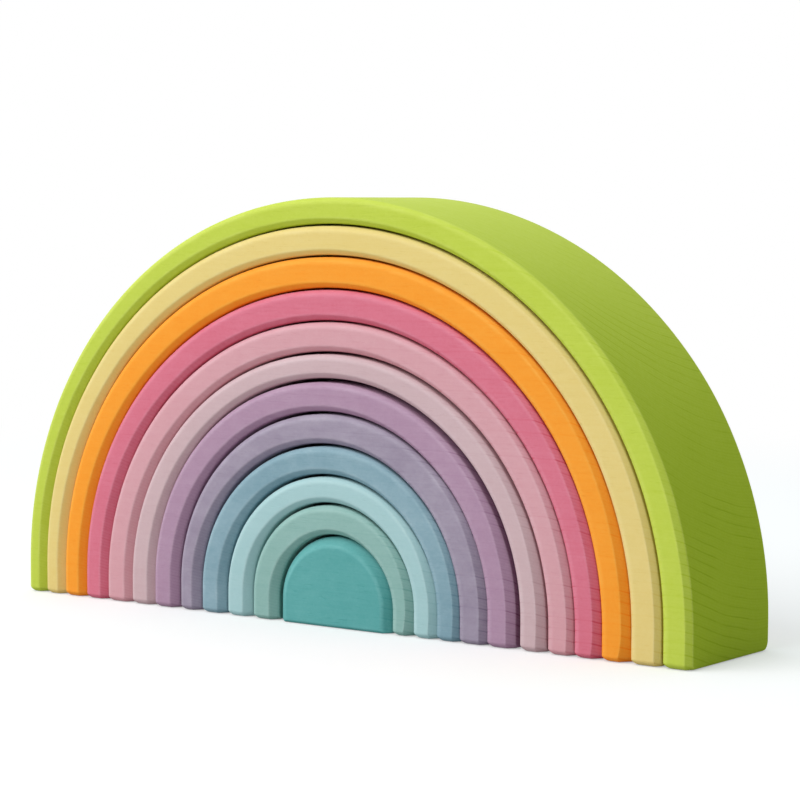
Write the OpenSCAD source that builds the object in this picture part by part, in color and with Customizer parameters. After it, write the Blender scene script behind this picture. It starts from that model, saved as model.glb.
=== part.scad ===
// Rainbow stacker: wooden arches that nest one inside the next round a solid core.
// X runs across the arches, Y from the front to the back and Z up.
// The origin is on the ground, midway between the outer feet and midway from front to back.

/* [Rainbow] */
// Width over the feet of the outermost arch
overall_width = 380; // [340:1:420]
// Height of the outermost crown above the ground
overall_height = 196; // [170:1:220]
// Depth of every piece, from its front face to its back face
depth = 70; // [40:1:100]

/* [Arches] */
// Mean thickness of the two feet of an arch
band = 13.65; // [10:0.05:14]
// Width of the saw cut between neighbouring pieces at their feet
kerf = 0.8; // [0.6:0.1:2]
// Extra sanded off the outside of the lilac arch and of every piece within it
inner_play = 0.4; // [0:0.1:1]
// Extra sanded off the outside of the mauve arch, which stands loosest of all
mauve_play = 0.6; // [0:0.1:1]
// Height of the straight foot of the outermost arch
outer_leg = 14; // [8:0.5:24]
// Height of the straight foot of the core, where its saw cut is even
core_leg = 11.5; // [6:0.5:14]

/* [Edges] */
// Chamfer along the outer edge of an arch's front and back faces
outer_chamfer = 3; // [1:0.1:4]
// Chamfer along the inner edge of an arch's front and back faces
inner_chamfer = 3.3; // [1:0.1:4.5]
// Chamfer along the arched edge of the core's front and back faces
core_chamfer = 4.2; // [1:0.1:6]
// Rounding under the left-hand side of every foot of an arch
left_round = 2.3; // [1:0.1:4]
// Rounding under the right-hand side of every foot of an arch
right_round = 1; // [0.5:0.1:4]
// Bevel under the front and back of an arch's feet
foot_bevel = 1.8; // [0.5:0.1:3]
// Edge broken off all round the underside of the core
core_edge = 1; // [0.5:0.1:3]

/* [Hidden] */
NODES = [
    "green_arch", "yellow_arch", "orange_arch", "raspberry_arch", "rose_arch", "lilac_arch",
    "mauve_arch", "lavender_arch", "blue_arch", "aqua_arch", "sage_arch", "teal_core"
];
$fn = 96;

// The core is the last piece inwards, and the outermost arch is piece 0
core_place = len(NODES) - 1;
lilac_place = search(["lilac_arch"], NODES)[0];
// Every curve is a half ellipse with the same share of height to half width
crown_ratio = (overall_height - outer_leg) / (overall_width / 2);
// Step from one saw cut to the next at the feet
pitch = band + kerf;
// Overshoot that lets a cut break through a surface cleanly
spare = 1;
// Cut 0 is the outside of the block, and each saw cut after it frees the piece of the same place.
// Sideways drift of each cut from the middle. The saw is guided by hand, so one leg comes out thicker.
drift = [0, -1.5, -2.8, -2.9, -2.6, -1.5, -0.6, -0.5, -1.9, -1, -0.3, 1.1];
// How much wider than its even place each cut comes down at the feet
spread = [0, 1.1, 1.5, 1.6, 2.1, 1.8, 1.6, 0, 0.3, 0.7, 0.9, 1.6];
// How much higher than its even place each cut passes over the crown
rise = [0, 1.2, 1.1, 0.3, -0.3, -0.4, 1.4, 0.3, -0.4, -0.3, 0.8, 0.4];
// How each piece stands in the saw cut round it: 0 midway, -1 touching on its left, 1 on its right.
// The pieces are loose, and each one was set down a little to one side.
lean = [0, -0.4, -0.1, -0.1, 0.1, -0.6, -0.8, 0.7, 0.7, 0.65, 0.5, 0.3];

function sanded(place) =
    (place >= lilac_place ? inner_play : 0) + (NODES[place] == "mauve_arch" ? mauve_play : 0);
function reach(cut) = overall_width / 2 - cut * pitch + spread[cut];
function outside(place) = reach(place) - sanded(place);
function inside(place) = reach(place + 1) + kerf;
function sideways(place) = place == 0 ? 0 : sideways(place - 1) + lean[place] * (kerf + sanded(place));
// The legs take up what a cut's rise and spread leave of its height
function leg(cut) =
    outer_leg + (core_leg - outer_leg) * cut / core_place + rise[cut] - crown_ratio * spread[cut];

// Half slice through a solid vault, chamfered along its front and back edges
module solid_slice(reach, edge) {
    face = depth / 2;
    polygon([
        [0, -face], [reach - edge, -face], [reach, edge - face],
        [reach, face - edge], [reach - edge, face], [0, face]
    ]);
}

// Half slice through a hollow that runs from front to back and flares by a chamfer at either end
module hollow_slice(reach, edge) {
    face = depth / 2;
    flared = reach + edge + spare;
    polygon([
        [0, -face - spare], [flared, -face - spare], [reach, edge - face],
        [reach, face - edge], [flared, face + spare], [0, face + spare]
    ]);
}

// Half ellipse on straight legs that go down to a bottom, swept by a half slice
module vault(leg_height, bottom) {
    translate([0, 0, leg_height])
        scale([1, 1, crown_ratio])
        rotate([90, 0, 0])
        rotate_extrude(angle = 180)
        children();
    for (left = [0, 1])
        mirror([left, 0, 0])
        translate([0, 0, bottom])
        linear_extrude(leg_height - bottom)
        children();
}

// Corner to cut off a foot that lies above and to the right of the origin
module round_corner(radius) {
    difference() {
        translate([-spare, -spare]) square(radius + spare);
        translate([radius, radius]) circle(radius);
    }
}

module bevel_corner(width) {
    polygon([[-spare, -spare], [width + spare, -spare], [-spare, width + spare]]);
}

// All that is sanded off under a foot that stands between two places along X
module under_foot(start, end, start_round, end_round, bevel) {
    for (last = [0, 1])
        translate([last == 0 ? start : end, 0, 0])
        mirror([last, 0, 0])
        rotate([90, 0, 0])
        linear_extrude(depth + 2 * spare, center = true)
        round_corner(last == 0 ? start_round : end_round);
    for (back = [0, 1])
        mirror([0, back, 0])
        translate([start - spare, -depth / 2, 0])
        rotate([90, 0, 90])
        linear_extrude(end - start + 2 * spare)
        bevel_corner(bevel);
}

// One arch: what is left between two saw cuts
module arch(place) {
    outer = drift[place];
    inner = drift[place + 1];
    translate([sideways(place), 0, 0])
        difference() {
            translate([outer, 0, 0])
                vault(leg(place), 0)
                solid_slice(outside(place), outer_chamfer);
            translate([inner, 0, 0])
                vault(leg(place + 1), -spare)
                hollow_slice(inside(place), inner_chamfer);
            under_foot(outer - outside(place), inner - inside(place), left_round, right_round, foot_bevel);
            under_foot(inner + inside(place), outer + outside(place), left_round, right_round, foot_bevel);
        }
}

// The solid block in the middle, with an arched top
module core() {
    half_width = outside(core_place);
    translate([sideways(core_place) + drift[core_place], 0, 0])
        difference() {
            vault(leg(core_place), 0) solid_slice(half_width, core_chamfer);
            under_foot(-half_width, half_width, core_edge, core_edge, core_edge);
        }
}

module green_arch() { color("#bfd052") arch(0); }
module yellow_arch() { color("#e8d086") arch(1); }
module orange_arch() { color("#f9a03a") arch(2); }
module raspberry_arch() { color("#da788c") arch(3); }
module rose_arch() { color("#d8a2aa") arch(4); }
module lilac_arch() { color("#cfb2b8") arch(5); }
module mauve_arch() { color("#b291a9") arch(6); }
module lavender_arch() { color("#a296a8") arch(7); }
module blue_arch() { color("#8ba7b0") arch(8); }
module aqua_arch() { color("#aacaca") arch(9); }
module sage_arch() { color("#8eb4ad") arch(10); }
module teal_core() { color("#59a19d") core(); }

green_arch();
yellow_arch();
orange_arch();
raspberry_arch();
rose_arch();
lilac_arch();
mauve_arch();
lavender_arch();
blue_arch();
aqua_arch();
sage_arch();
teal_core();
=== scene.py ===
"""Rainbow stacker: eleven stained wooden arches that nest round a solid core.

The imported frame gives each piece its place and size. Each piece is lofted anew as a sanded mesh that
stays inside its solid's box, and gets a stained wood material. X runs across the arches, Y from the
front to the back and Z up. Lengths are in metres.
"""
import math
from dataclasses import dataclass

import bmesh
import bpy
import numpy as np
from mathutils import Matrix, Vector


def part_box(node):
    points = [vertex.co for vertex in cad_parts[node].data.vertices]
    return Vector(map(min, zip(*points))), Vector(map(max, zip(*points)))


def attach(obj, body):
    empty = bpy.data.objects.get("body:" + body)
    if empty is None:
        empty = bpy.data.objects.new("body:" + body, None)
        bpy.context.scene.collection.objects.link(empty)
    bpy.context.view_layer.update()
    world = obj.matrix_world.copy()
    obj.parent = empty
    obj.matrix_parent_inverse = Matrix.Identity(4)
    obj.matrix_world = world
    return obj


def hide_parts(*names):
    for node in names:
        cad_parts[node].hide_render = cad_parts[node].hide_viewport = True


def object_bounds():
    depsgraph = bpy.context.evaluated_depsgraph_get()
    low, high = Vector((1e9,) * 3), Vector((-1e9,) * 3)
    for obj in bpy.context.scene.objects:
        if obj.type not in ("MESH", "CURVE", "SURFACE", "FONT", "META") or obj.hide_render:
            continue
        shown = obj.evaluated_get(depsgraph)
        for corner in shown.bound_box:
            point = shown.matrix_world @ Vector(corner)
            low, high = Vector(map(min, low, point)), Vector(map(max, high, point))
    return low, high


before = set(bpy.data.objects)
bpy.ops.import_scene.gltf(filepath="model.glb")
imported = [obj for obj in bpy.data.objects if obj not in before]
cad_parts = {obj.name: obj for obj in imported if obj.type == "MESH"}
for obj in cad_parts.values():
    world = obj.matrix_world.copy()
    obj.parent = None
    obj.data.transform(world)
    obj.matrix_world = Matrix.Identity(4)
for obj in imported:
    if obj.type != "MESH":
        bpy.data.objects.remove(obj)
cad_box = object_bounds()

# Sizes that the boxes of the solids don't give
KERF = 0.0008
OUTER_LEG = 0.014
OUTER_CHAMFER = 0.003
INNER_CHAMFER = 0.0033
CORE_CHAMFER = 0.0042
LEFT_ROUND = 0.0023
RIGHT_ROUND = 0.001
FOOT_BEVEL = 0.0018
CORE_EDGE = 0.001

# How far sanding softens each edge of an arch, at its right foot, crown and left foot
OUTER_FACE_SOFTNESS = (0.0003, 0.0011, 0.0011)
INNER_FACE_SOFTNESS = (0.0014, 0.0007, 0.0006)
SIDE_SOFTNESS = (0.0004, 0.0009, 0.0007)
CORE_SOFTNESS = 0.0014

# How wide the chamfers are left, as shares of their full widths at cosines of the turn round the arch
OUTER_SHARES = ((0.0, 0.5, 0.85, 0.97), (0.62, 0.45, 0.7, 1.0))
INNER_SHARES = ((-1.0, -0.7, 0.2, 0.6), (1.1, 0.8, 0.75, 0.55))

# How uneven hand sanding leaves the widths of the chamfers, as a share, and the surfaces, in metres
CHAMFER_SWAY = 0.05
SURFACE_SWAY = 0.00012
# Lengths of the longest waves of that unevenness, and the shares of the shorter ones
OUTER_EDGE_WAVE = 0.21
INNER_EDGE_WAVE = 0.17
INNER_SIDE_WAVE = 0.13
OUTER_SIDE_WAVE = 0.15
FRONT_WAVE = 0.11
BACK_WAVE = 0.12
WAVE_SHARES = (1.0, 0.6, 0.35)

# Feet: the height that a flare of the chamfer starts from, the forms of the bevel in front and of the
# roundings, and the size of the rounding behind
FLARE_HEIGHT = 0.013
BEVEL_POWER = 1.15
ROUND_POWER = 2.0
BACK_ROUND = 0.0045

# Mesh density: rows along an arch, and points across each straight of its slice, as shares of its length
ROW_STEP = 0.003
FOOT_ROWS = 12
LEG_ROWS = 4
ARC_STEPS = 3
FACE_SHARES = (0.1, 0.5, 0.9)
CHAMFER_SHARES = (0.18, 0.82)
SIDE_SHARES = (0.012, 0.07, 0.2, 0.35, 0.5, 0.65, 0.8, 0.93, 0.988)
CORE_SIDE_SHARES = (0.02, 0.1, 0.4, 0.7)
CORE_STEPS = 60
# How much the rings within the core's faces rise at the bottom for each step inwards
FACE_LIFT = 0.3
# How much wear and painted shade a chamfer gets, where a flat face gets 0 and the middle of a softened
# edge 1
CHAMFER_WEAR_AND_SHADE = 0.5
# Sines below this are on a straight leg
LEG_SINE = 1e-9


@dataclass
class Piece:
    """One wooden piece: its CAD node and body, its stain, and how its wood, edges and cuts look.

    grain is how strongly its ring lines show, and mottle how blotchy its stain is. edge is the width
    of its outer chamfer on the right leg as a share of the usual one, and flare how far that chamfer
    widens at the foot. drift is how far to the right of the block's middle the saw cut round the piece
    lies, bow how much further to the right it lies over the crown than at the feet, and play is what was
    sanded off its outside.
    """
    node: str
    stain: str
    grain: float
    mottle: float
    edge: float = 1.0
    flare: float = 0.0
    drift: float = 0.0
    bow: float = 0.0
    play: float = 0.0

    @property
    def slot(self):
        return self.node.split("_")[0] + "_stain"


PIECES = [
    Piece("green_arch", "#c2d252", 0.75, 0.6, edge=0.83, flare=0.0002),
    Piece("yellow_arch", "#e7cf84", 0.5, 0.5, edge=0.75, flare=0.0002, drift=-0.0015, bow=0.0012),
    Piece("orange_arch", "#fba037", 0.7, 0.5, flare=0.0020, drift=-0.0028, bow=0.0025),
    Piece("raspberry_arch", "#da788c", 1.2, 0.7, edge=0.97, flare=0.0010, drift=-0.0029, bow=0.0033),
    Piece("rose_arch", "#d8a2aa", 1.0, 0.6, edge=0.85, flare=0.0005, drift=-0.0026, bow=0.0031),
    Piece("lilac_arch", "#cfb2b6", 0.8, 0.6, edge=1.10, flare=0.0004, drift=-0.0015, bow=0.0022,
          play=0.0004),
    Piece("mauve_arch", "#b291a9", 1.0, 1.0, edge=1.10, flare=0.0001, drift=-0.0006, bow=0.0008,
          play=0.0010),
    Piece("lavender_arch", "#a296a8", 1.0, 1.9, flare=0.0001, drift=-0.0005, bow=0.0008, play=0.0004),
    Piece("blue_arch", "#8ba9b5", 0.7, 1.8, edge=0.78, flare=0.0005, drift=-0.0019, bow=0.0009,
          play=0.0004),
    Piece("aqua_arch", "#aaccce", 0.4, 0.6, flare=0.0006, drift=-0.0010, bow=-0.0004, play=0.0004),
    Piece("sage_arch", "#92b8b1", 0.8, 0.8, flare=0.0015, drift=-0.0003, bow=-0.0006, play=0.0004),
    Piece("teal_core", "#62a9a7", 0.35, 1.0, drift=0.0011, play=0.0004),
]

# Every curve is a half ellipse with the same share of height to half width as the whole toy
CROWN_RATIO = (cad_box[1].z - OUTER_LEG) / cad_box[1].x


def sway(lengths, rng, wave):
    """A slow unevenness between 0 and 1 along a path, as hand sanding leaves."""
    total = np.zeros_like(lengths)
    for share in WAVE_SHARES:
        total += share * np.sin(math.tau * lengths / (wave * share) + rng.uniform(0, math.tau))
    return 0.5 + 0.5 * total / sum(WAVE_SHARES)


def rounding(height, size, power):
    """How far a foot's side is drawn in at a height above the ground."""
    left = np.clip(1 - height / size, 0, 1)
    return size * (1 - (1 - left ** power) ** (1 / power))


def soften(corners, flats, softness):
    """Points round a closed outline with its corners rounded, and how much wear and painted shade each
    point gets.

    flats holds, for the straight after each corner, the shares of its length that get a point, and
    softness how far each corner's rounding reaches.
    """
    points = []
    wear_and_shade = []
    count = len(corners)
    corners = [np.array(corner) for corner in corners]

    def towards(start, end):
        return (end - start) / np.linalg.norm(end - start)

    for place, corner in enumerate(corners):
        after = corners[(place + 1) % count]
        start = corner + towards(corner, corners[place - 1]) * softness[place]
        end = corner + towards(corner, after) * softness[place]
        for t in np.linspace(0, 1, ARC_STEPS + 1):
            points.append((1 - t) ** 2 * start + 2 * t * (1 - t) * corner + t * t * end)
            wear_and_shade.append(CHAMFER_WEAR_AND_SHADE + 2 * t * (1 - t))
        next_start = after + towards(after, corner) * softness[(place + 1) % count]
        for share in flats[place]:
            points.append(end + (next_start - end) * share)
            wear_and_shade.append(CHAMFER_WEAR_AND_SHADE if flats[place] is CHAMFER_SHARES else 0)
    return np.array(points), np.array(wear_and_shade)


def bar_slice(width, face, inner_edge, outer_edge, turn):
    """A slice through an arch: across it from its inner side, and from its front to its back."""
    corners = [
        (inner_edge, -face),
        (width - outer_edge, -face),
        (width, outer_edge - face),
        (width, face - outer_edge),
        (width - outer_edge, face),
        (inner_edge, face),
        (0, face - inner_edge),
        (0, inner_edge - face),
    ]
    half = [FACE_SHARES, CHAMFER_SHARES, SIDE_SHARES, CHAMFER_SHARES]
    inner, outer, side = (
        crown + ((right if turn < math.pi / 2 else left) - crown) * math.cos(turn) ** 2
        for right, crown, left in (INNER_FACE_SOFTNESS, OUTER_FACE_SOFTNESS, SIDE_SOFTNESS)
    )
    return soften(corners, half + half, [inner, outer, side, side, outer, inner, side, side])


def add_mesh(name, points, faces, wear_and_shade):
    """A smooth mesh object whose points carry how much wear and painted shade they get."""
    mesh = bpy.data.meshes.new(name)
    mesh.from_pydata([tuple(point) for point in points], [], faces)
    edited = bmesh.new()
    edited.from_mesh(mesh)
    bmesh.ops.recalc_face_normals(edited, faces=edited.faces)
    edited.to_mesh(mesh)
    edited.free()
    mesh.polygons.foreach_set("use_smooth", [True] * len(mesh.polygons))
    wear_and_shade_marks = mesh.attributes.new("wear_and_shade", "FLOAT", "POINT")
    wear_and_shade_marks.data.foreach_set("value", wear_and_shade)
    made = bpy.data.objects.new(name, mesh)
    bpy.context.collection.objects.link(made)
    return made


def loft(rows):
    """Faces of a tube through rows of as many points each, closed by a flat face at either end."""
    count = rows.shape[1]
    faces = []
    for row in range(len(rows) - 1):
        first = row * count
        for place in range(count):
            following = (place + 1) % count
            near = (first + place, first + following)
            far = (first + count + following, first + count + place)
            faces.append(near + far)
    last = (len(rows) - 1) * count
    faces.append(tuple(range(count)))
    faces.append(tuple(range(last + count - 1, last - 1, -1)))
    return faces


def vault(piece):
    """The arched outside of a piece: its middle, its reach to either side and the height of its legs."""
    low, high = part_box(piece.node)
    reach = (high.x - low.x) / 2
    return (high.x + low.x) / 2, reach, high.z - CROWN_RATIO * reach


def arch_rows(reach, leg):
    """Rows along an arch from its right foot to its left one: angle, height on the leg, path length."""
    rounded = BACK_ROUND * (1 - np.cos(np.linspace(0, math.pi / 2, FOOT_ROWS)))
    straight = np.linspace(BACK_ROUND, leg, LEG_ROWS + 1)[1:-1]
    leg_heights = np.concatenate([rounded, straight])
    angles = np.linspace(0, math.pi, math.ceil(math.pi * reach / ROW_STEP) + 1)
    angle = np.concatenate([np.zeros(len(leg_heights)), angles, np.full(len(leg_heights), math.pi)])
    on_leg = np.concatenate([leg_heights, np.full(len(angles), leg), leg_heights[::-1]])
    x = reach * np.cos(angle)
    z = on_leg + CROWN_RATIO * reach * np.sin(angle)
    return angle, on_leg, np.concatenate([[0], np.cumsum(np.hypot(np.diff(x), np.diff(z)))])


def add_arch(piece, place):
    """One arch, lofted from foot to foot between its two saw cuts."""
    within = PIECES[place + 1]
    middle, outer_reach, outer_leg = vault(piece)
    inner_reach, inner_leg = vault(within)[1:]
    inner_reach += within.play + KERF
    inner_middle = within.drift - piece.drift
    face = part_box(piece.node)[1].y
    angle, on_leg, length = arch_rows(inner_reach, outer_leg)
    rng = np.random.default_rng(place + 1)

    def uneven(size, share, wave):
        return size * (1 - share + 2 * share * sway(length, rng, wave))

    def dip(wave):
        return SURFACE_SWAY * sway(length, rng, wave)

    cosine = np.cos(angle)
    on_right = cosine > 0
    on_foot = np.sin(angle) < LEG_SINE
    height = np.where(on_foot, on_leg, outer_leg)
    flare = piece.flare * np.clip(1 - height / FLARE_HEIGHT, 0, 1) ** 2
    flare = np.where(on_foot & on_right, flare, 0)
    narrowing = 1 + (piece.edge - 1) * np.clip(cosine, 0, 1) ** 2
    narrowing *= np.interp(cosine, *OUTER_SHARES)
    outer_edge = uneven(OUTER_CHAMFER, CHAMFER_SWAY, OUTER_EDGE_WAVE) * narrowing + flare
    inner_narrowing = np.interp(cosine, *INNER_SHARES)
    inner_edge = uneven(INNER_CHAMFER, CHAMFER_SWAY, INNER_EDGE_WAVE) * inner_narrowing

    left_hand = rounding(height, LEFT_ROUND, ROUND_POWER)
    right_hand = rounding(height, RIGHT_ROUND, ROUND_POWER)
    bevel = rounding(height, FOOT_BEVEL, BEVEL_POWER)
    behind = rounding(height, BACK_ROUND, ROUND_POWER)
    inner_inset = np.where(on_right, left_hand, right_hand) + dip(INNER_SIDE_WAVE)
    outer_inset = np.where(on_right, right_hand, left_hand) + dip(OUTER_SIDE_WAVE)
    front_inset = bevel + dip(FRONT_WAVE)
    back_inset = behind + dip(BACK_WAVE)

    rows = []
    wear_and_shade_marks = []
    for row, turn in enumerate(angle):
        outwards = np.array((math.cos(turn), CROWN_RATIO * math.sin(turn)))
        bowed = math.sin(turn) ** 2
        start = np.array((inner_middle + within.bow * bowed, on_leg[row] / outer_leg * inner_leg))
        start += inner_reach * outwards
        across = np.array((piece.bow * bowed, on_leg[row])) + outer_reach * outwards - start
        width = np.linalg.norm(across)
        points, wear_and_shade = bar_slice(width, face, inner_edge[row], outer_edge[row], turn)
        kept = 1 - (inner_inset[row] + outer_inset[row]) / width
        share = (inner_inset[row] + points[:, 0] * kept) / width
        inset = np.where(points[:, 1] < 0, front_inset[row], back_inset[row])
        x = middle + start[0] + across[0] * share
        y = points[:, 1] * (1 - inset / face)
        z = start[1] + across[1] * share
        rows.append(np.column_stack([x, y, z]))
        wear_and_shade_marks.append(wear_and_shade)
    rows = np.array(rows)
    return add_mesh(piece.node + "_wood", rows.reshape(-1, 3), loft(rows), np.concatenate(wear_and_shade_marks))


def core_ring(reach, leg, bottom):
    """Points round the core at one depth, from the bottom of its right side over the top and back."""
    corner = np.linspace(-math.pi / 2, 0, FOOT_ROWS)
    corner_x = reach - CORE_EDGE + CORE_EDGE * np.cos(corner)
    corner_z = bottom + CORE_EDGE + CORE_EDGE * np.sin(corner)
    side_z = np.linspace(bottom + CORE_EDGE, leg, LEG_ROWS + 1)[1:-1]
    foot_x = np.concatenate([corner_x, np.full(len(side_z), reach)])
    foot_z = np.concatenate([corner_z, side_z])
    arc = np.linspace(0, math.pi, CORE_STEPS + 1)
    x = np.concatenate([foot_x, reach * np.cos(arc), -foot_x[::-1]])
    z = np.concatenate([foot_z, leg + CROWN_RATIO * reach * np.sin(arc), foot_z[::-1]])
    return np.column_stack([x, z])


def add_core(piece):
    """The block in the middle: rings from its front face to its back one."""
    middle, reach, leg = vault(piece)
    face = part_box(piece.node)[1].y

    # Corners of a half slice: how far in from the arched side, and how deep behind the front face
    corners = [(2 * CORE_CHAMFER, 0), (CORE_CHAMFER, 0), (0, CORE_CHAMFER), (0, face)]
    softness = [0, CORE_SOFTNESS, CORE_SOFTNESS, 0]
    points, wear_and_shade = soften(corners, [FACE_SHARES, CHAMFER_SHARES, CORE_SIDE_SHARES, ()], softness)
    layers = [(*point, mark if point[1] > 0 else 0) for point, mark in zip(points, wear_and_shade)]
    layers = layers[ARC_STEPS:-ARC_STEPS]
    front = [(inset, -face + depth, mark) for inset, depth, mark in layers]
    back = [(inset, face - depth, mark) for inset, depth, mark in layers[-2::-1]]

    rows = []
    wear_and_shade_marks = []
    for inset, y, mark in front + back:
        behind_face = face - abs(y)
        bottom = max(0, CORE_EDGE - behind_face) + FACE_LIFT * max(0, inset - CORE_CHAMFER)
        ring = core_ring(reach - inset, leg, bottom)
        rows.append(np.column_stack([middle + ring[:, 0], np.full(len(ring), y), ring[:, 1]]))
        wear_and_shade_marks.append(np.full(len(ring), mark))
    rows = np.array(rows)
    return add_mesh(piece.node + "_wood", rows.reshape(-1, 3), loft(rows), np.concatenate(wear_and_shade_marks))


class Nodes:
    """Adds nodes to a tree. A value that is a socket is linked, and any other is set."""

    def __init__(self, tree):
        self.tree = tree

    def add(self, kind, inputs=(), **settings):
        made = self.tree.nodes.new("ShaderNode" + kind)
        for name, value in settings.items():
            setattr(made, name, value)
        for name, value in dict(inputs).items():
            self.put(made.inputs[name], value)
        return made

    def put(self, socket, value):
        if isinstance(value, bpy.types.NodeSocket):
            self.tree.links.new(value, socket)
        else:
            socket.default_value = value

    def math(self, operation, *values):
        return self.add("Math", dict(enumerate(values)), operation=operation).outputs[0]

    def vector(self, operation, *values, output=0):
        return self.add("VectorMath", dict(enumerate(values)), operation=operation).outputs[output]

    def noise(self, place, scale, detail=2.0, roughness=0.5):
        """Noise between about 0 and 1 with a number of features per metre along each axis."""
        stretched = self.vector("MULTIPLY", place, scale)
        settings = {"Vector": stretched, "Scale": 1.0, "Detail": detail, "Roughness": roughness}
        return self.add("TexNoise", settings).outputs["Fac"]

    def ramp(self, value, start, end, low=0.0, high=1.0):
        """A smooth step from low at start to high at end."""
        settings = {"Value": value, "From Min": start, "From Max": end, "To Min": low, "To Max": high}
        return self.add("MapRange", settings, interpolation_type="SMOOTHSTEP").outputs[0]


def linear(hex_colour):
    """A colour written as #rrggbb, as the shader takes it, by the sRGB formula."""
    channels = [int(hex_colour[start:start + 2], 16) / 255 for start in (1, 3, 5)]
    return [c / 12.92 if c <= 0.04045 else ((c + 0.055) / 1.055) ** 2.4 for c in channels] + [1.0]


# The middle of the tree that the block was sawn from, behind and above the toy, and its rings
TREE_MIDDLE = (0.0, 0.045, 0.213)
RING_STEP = 0.0044
RING_WANDER = 0.005
FINE_RINGS = 3.37
# Where in a ring its dark late wood comes and goes, as shares of the ring, and the same for fine lines
LATE_WOOD_RISE = (0.80, 0.95)
LATE_WOOD_FALL = (0.96, 1.0)
FINE_LINE_RISE = (0.4, 0.8)
FINE_LINE_FALL = (0.85, 1.0)
# The lines come and go with a noise, and fade towards the left of the block
LINE_NOISE = (0.38, 0.66)
LEAST_LINE = 0.15
LINE_FADE = (-0.08, 0.04)
FADED_LINE = 0.2
# How much of a line shows on a face that runs along the fibres
ALONG_FIBRES = 0.1

# Features of the wood per metre along each axis. The fibres run along X
WANDER_SCALE = (5, 20, 20)
LINE_SCALE = (9, 40, 40)
FIBRE_SCALE = (30, 650, 650)
PORE_SCALE = (170, 2300, 2300)
BLOTCH_SCALE = (20, 28, 28)
SPECK_SCALE = (130, 210, 210)
GRIT_SCALE = (900, 900, 900)
RUB_SCALE = (60, 60, 60)
PORE_NOISE = (0.63, 0.72)
RUB_NOISE = (0.4, 0.7)

# What each feature adds to the strength of the stain
LINE_STAIN = 0.50
FINE_LINE_STAIN = 0.09
FIBRE_STAIN = 0.10
PORE_STAIN = 0.06
BLOTCH_STAIN = 0.22
SPECK_STAIN = 0.16
GRIT_STAIN = 0.10
# Painted shade: a stronger stain on surfaces facing right, away from the soft box, also standing for end
# grain there; chamfers facing right get part of it back
RIGHT_SHADE_AND_END_GRAIN = 0.47
CHAMFER_RIGHT_SHADE = -0.45
# Painted shade: a stronger stain on chamfers that face down
CHAMFER_UNDER_SHADE = 0.6
WORN_STAIN = -0.08
RUBBED_STAIN = -0.08
# How closely the painted shade keeps to surfaces that face right or down
RIGHT_POWER = 3.0
UNDER_POWER = 2.0

ROUGHNESS = 0.62
FIBRE_ROUGHNESS = 0.25
RUBBED_ROUGHNESS = -0.08
SPECULAR_LEVEL = 0.05
LINE_BUMP = -0.5
PORE_BUMP = -0.6
BUMP_STRENGTH = 0.35
BUMP_DISTANCE = 0.00025


def growth_rings(nodes, place):
    """The dark lines of the late wood, and fine lines between them."""
    from_middle = nodes.vector("SUBTRACT", place, TREE_MIDDLE)
    from_middle = nodes.vector("MULTIPLY", from_middle, (0.0, 1.0, 1.0))
    radius = nodes.vector("LENGTH", from_middle, output="Value")
    wander = nodes.noise(place, WANDER_SCALE)
    count = nodes.math("DIVIDE", nodes.math("MULTIPLY_ADD", wander, RING_WANDER, radius), RING_STEP)

    def band(rings, rise, fall):
        ring = nodes.math("FRACT", rings)
        return nodes.math("MULTIPLY", nodes.ramp(ring, *rise), nodes.ramp(ring, *fall, 1.0, 0.0))

    presence = nodes.ramp(nodes.noise(place, LINE_SCALE), *LINE_NOISE, LEAST_LINE, 1.0)
    along = nodes.add("SeparateXYZ", {"Vector": place}).outputs["X"]
    presence = nodes.math("MULTIPLY", presence, nodes.ramp(along, *LINE_FADE, FADED_LINE, 1.0))
    lines = nodes.math("MULTIPLY", band(count, LATE_WOOD_RISE, LATE_WOOD_FALL), presence)
    fine_count = nodes.math("MULTIPLY", count, FINE_RINGS)
    return lines, band(fine_count, FINE_LINE_RISE, FINE_LINE_FALL)


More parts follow.
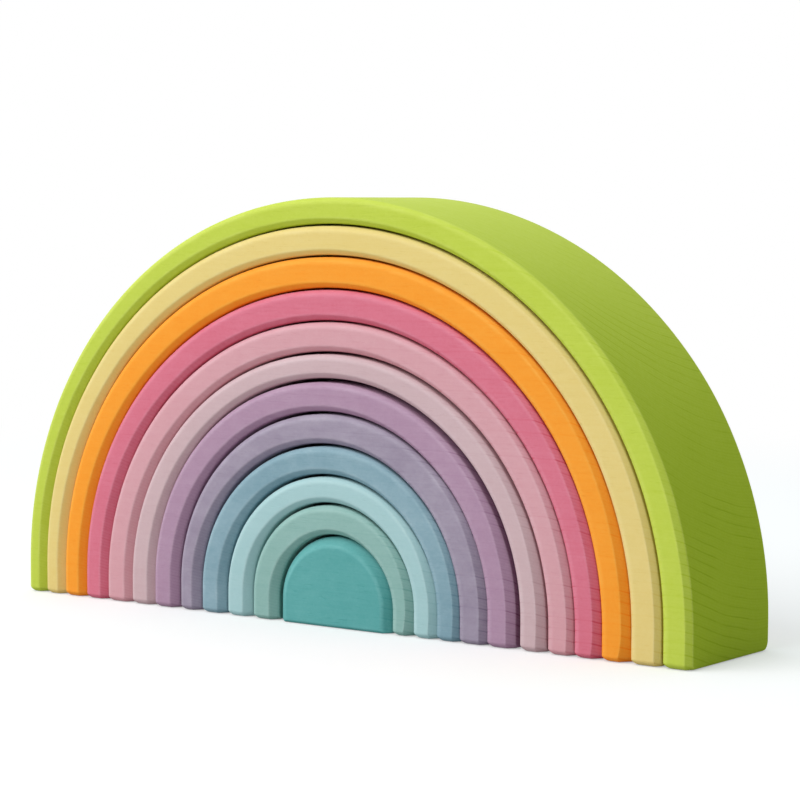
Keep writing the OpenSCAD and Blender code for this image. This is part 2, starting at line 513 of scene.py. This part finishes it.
def stained_wood(piece):
    """Wood stained in one colour, thicker in late wood, pores and end grain facing right, with painted
    shade there and on chamfers facing down.
    """
    material = bpy.data.materials.new(piece.slot)
    material.use_nodes = True
    nodes = Nodes(material.node_tree)
    shader = material.node_tree.nodes["Principled BSDF"]
    place = nodes.add("TexCoord").outputs["Object"]

    def about_zero(scale, **detail):
        return nodes.math("SUBTRACT", nodes.noise(place, scale, **detail), 0.5)

    lines, fine_lines = growth_rings(nodes, place)
    fibres = about_zero(FIBRE_SCALE, detail=4.0, roughness=0.65)
    pores = nodes.ramp(nodes.noise(place, PORE_SCALE, detail=1.0), *PORE_NOISE)
    blotches = about_zero(BLOTCH_SCALE, detail=3.0, roughness=0.6)
    specks = about_zero(SPECK_SCALE, detail=3.0, roughness=0.7)
    grit = about_zero(GRIT_SCALE)
    normal = nodes.add("NewGeometry").outputs["Normal"]
    normal = nodes.add("SeparateXYZ", {"Vector": normal}).outputs
    # Masks for the painted shade on surfaces that face right and on chamfers that face down
    rightward = nodes.math("POWER", nodes.math("MAXIMUM", normal["X"], 0.0), RIGHT_POWER)
    downward = nodes.math("POWER", nodes.math("MINIMUM", normal["Z"], 0.0), UNDER_POWER)
    # Marks on edges and chamfers: real wear, and the mask of the painted chamfer shade
    wear_and_shade = nodes.add("Attribute", attribute_name="wear_and_shade").outputs["Fac"]
    rub = nodes.ramp(nodes.noise(place, RUB_SCALE, detail=4.0), *RUB_NOISE)
    rubbed = nodes.math("MULTIPLY", wear_and_shade, rub)

    # The rings show where they are cut across, and hardly on the faces that run along the fibres
    facing = nodes.math("ABSOLUTE", normal["X"])
    cut_across = nodes.math("MULTIPLY_ADD", facing, 1.0 - ALONG_FIBRES, ALONG_FIBRES)
    lines = nodes.math("MULTIPLY", lines, cut_across)
    fine_lines = nodes.math("MULTIPLY", fine_lines, cut_across)

    # The stain's strength is a power of its colour: 1 as written, more where it lies thicker or where
    # shade is painted
    strength = 1.0
    for feature, stain in (
        (lines, LINE_STAIN * piece.grain),
        (fine_lines, FINE_LINE_STAIN * piece.grain),
        (fibres, FIBRE_STAIN),
        (pores, PORE_STAIN),
        (blotches, BLOTCH_STAIN * piece.mottle),
        (specks, SPECK_STAIN * piece.mottle),
        (grit, GRIT_STAIN),
        # Painted shade: surfaces facing right and chamfers facing down get a stronger stain, chamfers
        # facing right less of it
        (rightward, RIGHT_SHADE_AND_END_GRAIN),
        (nodes.math("MULTIPLY", wear_and_shade, rightward), CHAMFER_RIGHT_SHADE),
        (nodes.math("MULTIPLY", wear_and_shade, downward), CHAMFER_UNDER_SHADE),
        (wear_and_shade, WORN_STAIN),
        (rubbed, RUBBED_STAIN),
    ):
        strength = nodes.math("MULTIPLY_ADD", feature, stain, strength)
    colour = nodes.add("Gamma", {"Color": linear(piece.stain), "Gamma": strength}).outputs["Color"]
    nodes.put(shader.inputs["Base Color"], colour)

    roughness = nodes.math("MULTIPLY_ADD", fibres, FIBRE_ROUGHNESS, ROUGHNESS)
    roughness = nodes.math("MULTIPLY_ADD", rubbed, RUBBED_ROUGHNESS, roughness)
    nodes.put(shader.inputs["Roughness"], roughness)
    nodes.put(shader.inputs["Specular IOR Level"], SPECULAR_LEVEL)
    height = nodes.math("MULTIPLY_ADD", lines, LINE_BUMP, fibres)
    height = nodes.math("MULTIPLY_ADD", pores, PORE_BUMP, height)
    bump = {"Height": height, "Strength": BUMP_STRENGTH, "Distance": BUMP_DISTANCE}
    nodes.put(shader.inputs["Normal"], nodes.add("Bump", bump).outputs["Normal"])
    return material


# The camera, at the photograph's viewing angle, in degrees and for a square frame
CAMERA_PLACE = (0.7460, -0.9927, 0.1962)
CAMERA_TURN = 36.389
CAMERA_TILT = -4.334
CAMERA_ROLL = 0.172
SENSOR = 36.0
LENS = 120.6


def add_camera():
    """A camera where the photograph was taken from."""
    data = bpy.data.cameras.new("camera")
    data.sensor_width = SENSOR
    data.lens = LENS
    camera = bpy.data.objects.new("camera", data)
    bpy.context.collection.objects.link(camera)
    turn = Matrix.Rotation(math.radians(CAMERA_TURN), 4, "Z")
    tilt = Matrix.Rotation(math.radians(90 + CAMERA_TILT), 4, "X")
    roll = Matrix.Rotation(math.radians(CAMERA_ROLL), 4, "Z")
    camera.matrix_world = Matrix.Translation(CAMERA_PLACE) @ turn @ tilt @ roll
    bpy.context.scene.camera = camera


# The dome of soft, cool light: its colour and level, and how it changes towards each axis
DOME_COLOUR = (0.90, 1.0, 1.02, 1.0)
DOME_LEVEL = 0.58
DOME_SLOPE = (-0.44, 0.06, 0.31)
# The soft box at the upper left of the front: its power in watts, and the point that it faces
KEY_COLOUR = (1.065, 1.0, 0.99)
KEY_DIRECTION = (-0.31, -0.64, 0.70)
KEY_DISTANCE = 2.2
KEY_WIDTH = 1.8
KEY_POWER = 29.8
KEY_AIM = (0.0, 0.0, 0.08)
# The floor: how white it is to the eye and to the light that it throws back, the distances between
# which it fades into the background, and how much of the background lies over it at the object
FLOOR_SIZE = 20.0
FLOOR_DROP = 0.0003
FLOOR_SEEN = 0.97
FLOOR_BOUNCE = 0.57
FLOOR_FADE = (0.45, 1.1)
FLOOR_LIFT = 0.4
WHITE = (1.0, 1.0, 1.0, 1.0)


def seen_directly(nodes):
    """1 for rays that show the background in the picture, in a reflection or through a surface."""
    path = nodes.add("LightPath").outputs
    seen = nodes.math("MAXIMUM", path["Is Camera Ray"], path["Is Glossy Ray"])
    return nodes.math("MAXIMUM", seen, path["Is Transmission Ray"])


def light_dome():
    """A white background, and a soft dome that lights the object."""
    world = bpy.data.worlds.new("dome")
    bpy.context.scene.world = world
    world.use_nodes = True
    tree = world.node_tree
    tree.nodes.clear()
    nodes = Nodes(tree)
    direction = nodes.add("TexCoord").outputs["Generated"]
    slope = nodes.vector("DOT_PRODUCT", direction, DOME_SLOPE, output="Value")
    level = nodes.math("MAXIMUM", nodes.math("ADD", slope, DOME_LEVEL), 0.0)
    light = nodes.add("Background", {"Color": DOME_COLOUR, "Strength": level})
    white = nodes.add("Background", {"Color": WHITE, "Strength": 1.0})
    mixed = nodes.add("MixShader", {0: seen_directly(nodes), 1: light.outputs[0], 2: white.outputs[0]})
    output = nodes.add("OutputWorld")
    tree.links.new(mixed.outputs[0], output.inputs["Surface"])


def add_soft_box():
    """A wide lamp that lights the front from the upper left."""
    lamp = bpy.data.lights.new("soft_box", "AREA")
    lamp.size = KEY_WIDTH
    lamp.energy = KEY_POWER
    lamp.color = KEY_COLOUR
    soft_box = bpy.data.objects.new("soft_box", lamp)
    towards_key = Vector(KEY_DIRECTION).normalized()
    soft_box.location = Vector(KEY_AIM) + towards_key * KEY_DISTANCE
    soft_box.rotation_euler = towards_key.to_track_quat("Z", "Y").to_euler()
    soft_box.visible_camera = False
    bpy.context.collection.objects.link(soft_box)


def add_floor():
    """A white floor that keeps the object's shadow and fades into the background."""
    half = FLOOR_SIZE / 2
    corners = [(-half, -half), (half, -half), (half, half), (-half, half)]
    mesh = bpy.data.meshes.new("floor")
    mesh.from_pydata([(x, y, -FLOOR_DROP) for x, y in corners], [], [(0, 1, 2, 3)])
    floor = bpy.data.objects.new("floor", mesh)
    bpy.context.collection.objects.link(floor)
    material = bpy.data.materials.new("white_floor")
    material.use_nodes = True
    tree = material.node_tree
    tree.nodes.clear()
    nodes = Nodes(tree)
    seen = seen_directly(nodes)
    shade = nodes.ramp(seen, 0.0, 1.0, FLOOR_BOUNCE, FLOOR_SEEN)
    grey = nodes.add("CombineColor", {0: shade, 1: shade, 2: shade}).outputs[0]
    paint = nodes.add("BsdfDiffuse", {"Color": grey})
    white = nodes.add("Emission", {"Color": WHITE, "Strength": 1.0})
    distance = nodes.vector("LENGTH", nodes.add("NewGeometry").outputs["Position"], output="Value")
    fade = nodes.math("MULTIPLY", seen, nodes.ramp(distance, *FLOOR_FADE, FLOOR_LIFT, 1.0))
    mixed = nodes.add("MixShader", {0: fade, 1: paint.outputs[0], 2: white.outputs[0]})
    output = nodes.add("OutputMaterial")
    tree.links.new(mixed.outputs[0], output.inputs["Surface"])
    floor.data.materials.append(material)


bpy.context.scene.view_settings.view_transform = "Standard"
add_camera()
light_dome()
add_soft_box()
add_floor()

for place, piece in enumerate(PIECES):
    made = add_core(piece) if piece is PIECES[-1] else add_arch(piece, place)
    made.data.materials.append(stained_wood(piece))
    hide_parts(piece.node)
    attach(made, piece.node)
